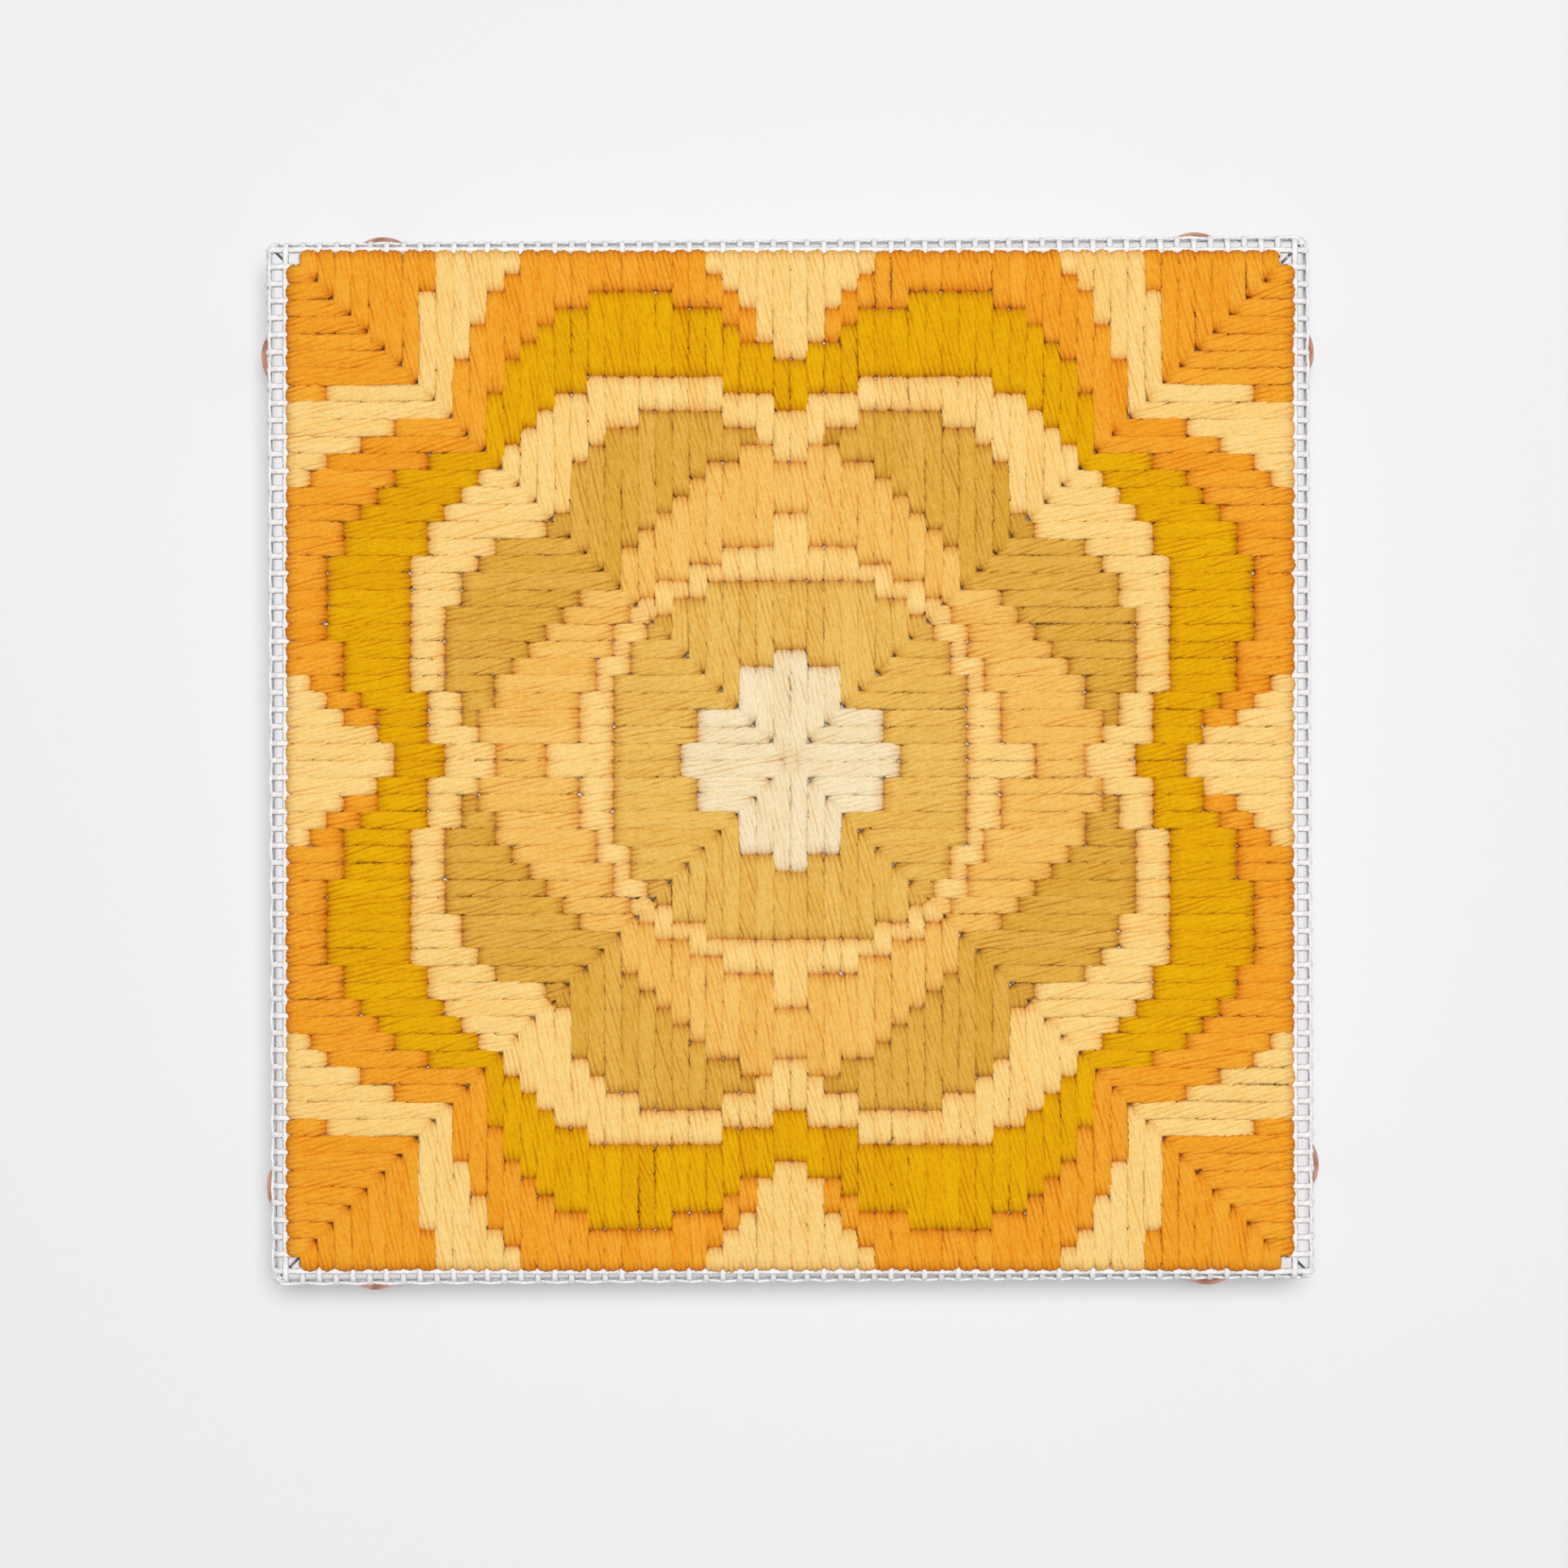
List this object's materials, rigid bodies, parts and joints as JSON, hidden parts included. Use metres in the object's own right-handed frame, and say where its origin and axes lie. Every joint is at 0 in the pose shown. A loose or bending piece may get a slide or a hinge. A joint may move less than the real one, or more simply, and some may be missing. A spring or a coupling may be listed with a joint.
{
  "type": "needlepoint canvas panel on a stretcher frame",
  "caption": "Square needlepoint panel of straight wool stitches on white mono canvas, drawn over a mitred wooden frame and tacked along its sides.",
  "frame": {"origin": "middle of the frame's back, on the surface that the panel lies on", "axes": "+Z out of the stitched face, +Y up the picture, +X to its right"},
  "size_m": [0.16, 0.16, 0.0223],
  "materials": {
    "canvas": "stiffened white cotton mono canvas",
    "wool_cream": "matt plied wool yarn",
    "wool_gold": "matt plied wool yarn",
    "wool_pale_yellow": "matt plied wool yarn",
    "wool_apricot": "matt plied wool yarn",
    "wool_mustard": "matt plied wool yarn",
    "wool_orange": "matt plied wool yarn",
    "bar_wood": "white-primed pine",
    "tack_copper": "copper plated, softly polished"
  },
  "bodies": {
    "root": {"canvas": "canvas", "wool_stitching": "wool_pale_yellow", "bar_top": "bar_wood", "bar_right": "bar_wood", "bar_bottom": "bar_wood", "bar_left": "bar_wood", "tack_top_1": "tack_copper", "tack_top_2": "tack_copper", "tack_right_1": "tack_copper", "tack_right_2": "tack_copper", "tack_bottom_1": "tack_copper", "tack_bottom_2": "tack_copper", "tack_left_1": "tack_copper", "tack_left_2": "tack_copper"}
  },
  "joints": []
}
